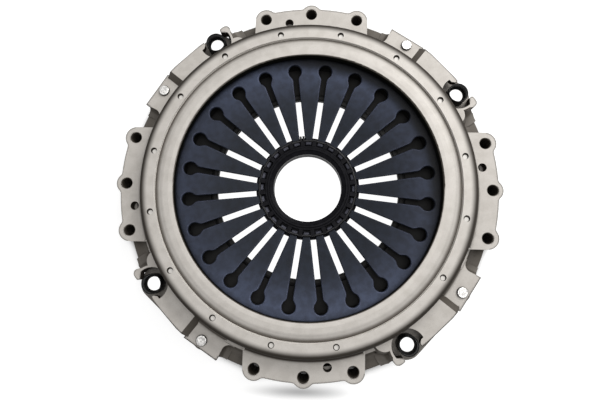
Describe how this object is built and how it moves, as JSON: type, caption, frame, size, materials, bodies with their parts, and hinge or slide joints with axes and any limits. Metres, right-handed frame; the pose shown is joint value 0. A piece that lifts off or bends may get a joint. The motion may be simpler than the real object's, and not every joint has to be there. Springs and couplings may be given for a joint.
{
  "type": "clutch pressure plate",
  "caption": "Pull-type diaphragm spring clutch cover with a cast housing, pressure plate, tangential drive straps and a release ring at the fingertips.",
  "frame": {"origin": "centre of the mounting face that bolts to the flywheel", "axes": "+Z along the clutch axis, from the flywheel to the gearbox; +Y through the middle bolt hole of one flange"},
  "size_m": [0.4756, 0.4756, 0.0616],
  "materials": {
    "cover_cast": "blasted and partly machined",
    "plate_cast": "cast with a ground friction face",
    "spring_steel": "blued and shot-peened",
    "strap_steel": "hardened spring steel",
    "rivet_steel": "zinc plated",
    "tube_steel": "dark phosphated",
    "ring_steel": "black phosphated and oiled",
    "wire_steel": "oiled spring wire"
  },
  "bodies": {
    "cover": {"cover_housing": "cover_cast", "fulcrum_wire": "wire_steel", "diaphragm_spring": "spring_steel", "cover_rivets": "rivet_steel", "strap_washers": "strap_steel", "drive_strap_1_leaf_1": "strap_steel", "drive_strap_1_leaf_2": "strap_steel", "drive_strap_1_leaf_3": "strap_steel", "drive_strap_2_leaf_1": "strap_steel", "drive_strap_2_leaf_2": "strap_steel", "drive_strap_2_leaf_3": "strap_steel", "drive_strap_3_leaf_1": "strap_steel", "drive_strap_3_leaf_2": "strap_steel", "drive_strap_3_leaf_3": "strap_steel", "drive_strap_4_leaf_1": "strap_steel", "drive_strap_4_leaf_2": "strap_steel", "drive_strap_4_leaf_3": "strap_steel"},
    "plate": {"pressure_plate": "plate_cast", "lug_tube_rivet_1": "tube_steel", "lug_tube_rivet_2": "tube_steel", "lug_tube_rivet_3": "tube_steel", "lug_tube_rivet_4": "tube_steel"},
    "release": {"release_ring": "ring_steel", "wear_collar": "ring_steel", "lock_wire": "wire_steel"}
  },
  "joints": [
    {"name": "plate_lift", "type": "slide", "parent": "cover", "child": "plate", "axis": [0, 0, 1], "range_m": [0, 0.002], "stiffness_N_per_m": 20000, "deforming": ["drive_strap_1_leaf_1", "drive_strap_1_leaf_2", "drive_strap_1_leaf_3", "drive_strap_2_leaf_1", "drive_strap_2_leaf_2", "drive_strap_2_leaf_3", "drive_strap_3_leaf_1", "drive_strap_3_leaf_2", "drive_strap_3_leaf_3", "drive_strap_4_leaf_1", "drive_strap_4_leaf_2", "drive_strap_4_leaf_3"]},
    {"name": "release_travel", "type": "slide", "parent": "cover", "child": "release", "axis": [0, 0, 1], "range_m": [0, 0.0114], "deforming": ["diaphragm_spring"]}
  ],
  "couplings": [
    {"joint": "release_travel", "follows": "plate_lift", "ratio": 5.7}
  ]
}
